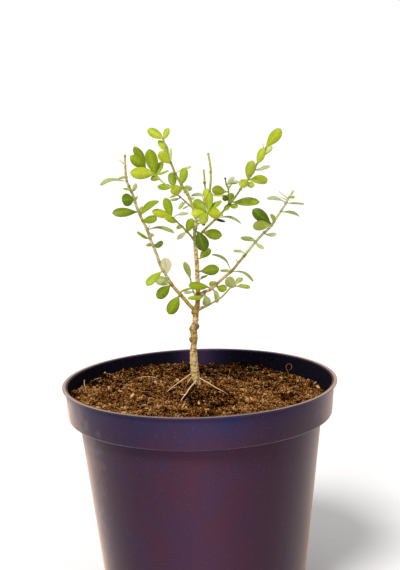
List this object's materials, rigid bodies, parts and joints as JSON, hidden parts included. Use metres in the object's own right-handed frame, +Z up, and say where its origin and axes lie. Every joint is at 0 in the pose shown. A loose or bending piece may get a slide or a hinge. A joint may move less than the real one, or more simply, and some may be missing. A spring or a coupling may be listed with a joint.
{
  "type": "common boxwood bonsai in a plastic pot",
  "caption": "Young boxwood tree with knotted stem, spreading limbs and small oval leaves, in a round collared plastic pot filled with peaty soil.",
  "frame": {"origin": "centre of the pot's foot on the surface it stands on", "axes": "+Z up along the pot's axis, -Y towards the front of the tree, +X to the right as seen from the front"},
  "size_m": [0.22, 0.22, 0.3801],
  "materials": {
    "pot": "satin moulded polypropylene",
    "soil": "loose moist peat and bark",
    "bark": "pale knotted bark",
    "leaf": "leathery leaf with a soft gloss",
    "dark_leaf": "older leathery leaf with a soft gloss",
    "young_stem": "smooth green and brown young bark",
    "dry_leaf": "dry papery leaf"
  },
  "bodies": {
    "root": {"pot": "pot", "soil": "soil", "trunk": "bark", "left_limb": "leaf", "right_limb": "leaf", "low_right_twig": "leaf", "low_left_shoot": "leaf", "middle_left_twig": "leaf", "left_leader": "leaf", "left_side_shoot": "leaf", "back_shoot": "dark_leaf", "centre_shoot": "leaf", "left_bare_shoot": "young_stem", "right_bare_shoot": "young_stem", "right_shoot": "leaf", "brown_tipped_twig": "leaf", "main_stem_leaf_1": "dark_leaf", "main_stem_leaf_2": "dark_leaf", "main_stem_leaf_3": "dark_leaf", "main_stem_leaf_4": "dark_leaf", "dry_leaf": "dry_leaf"}
  },
  "joints": []
}
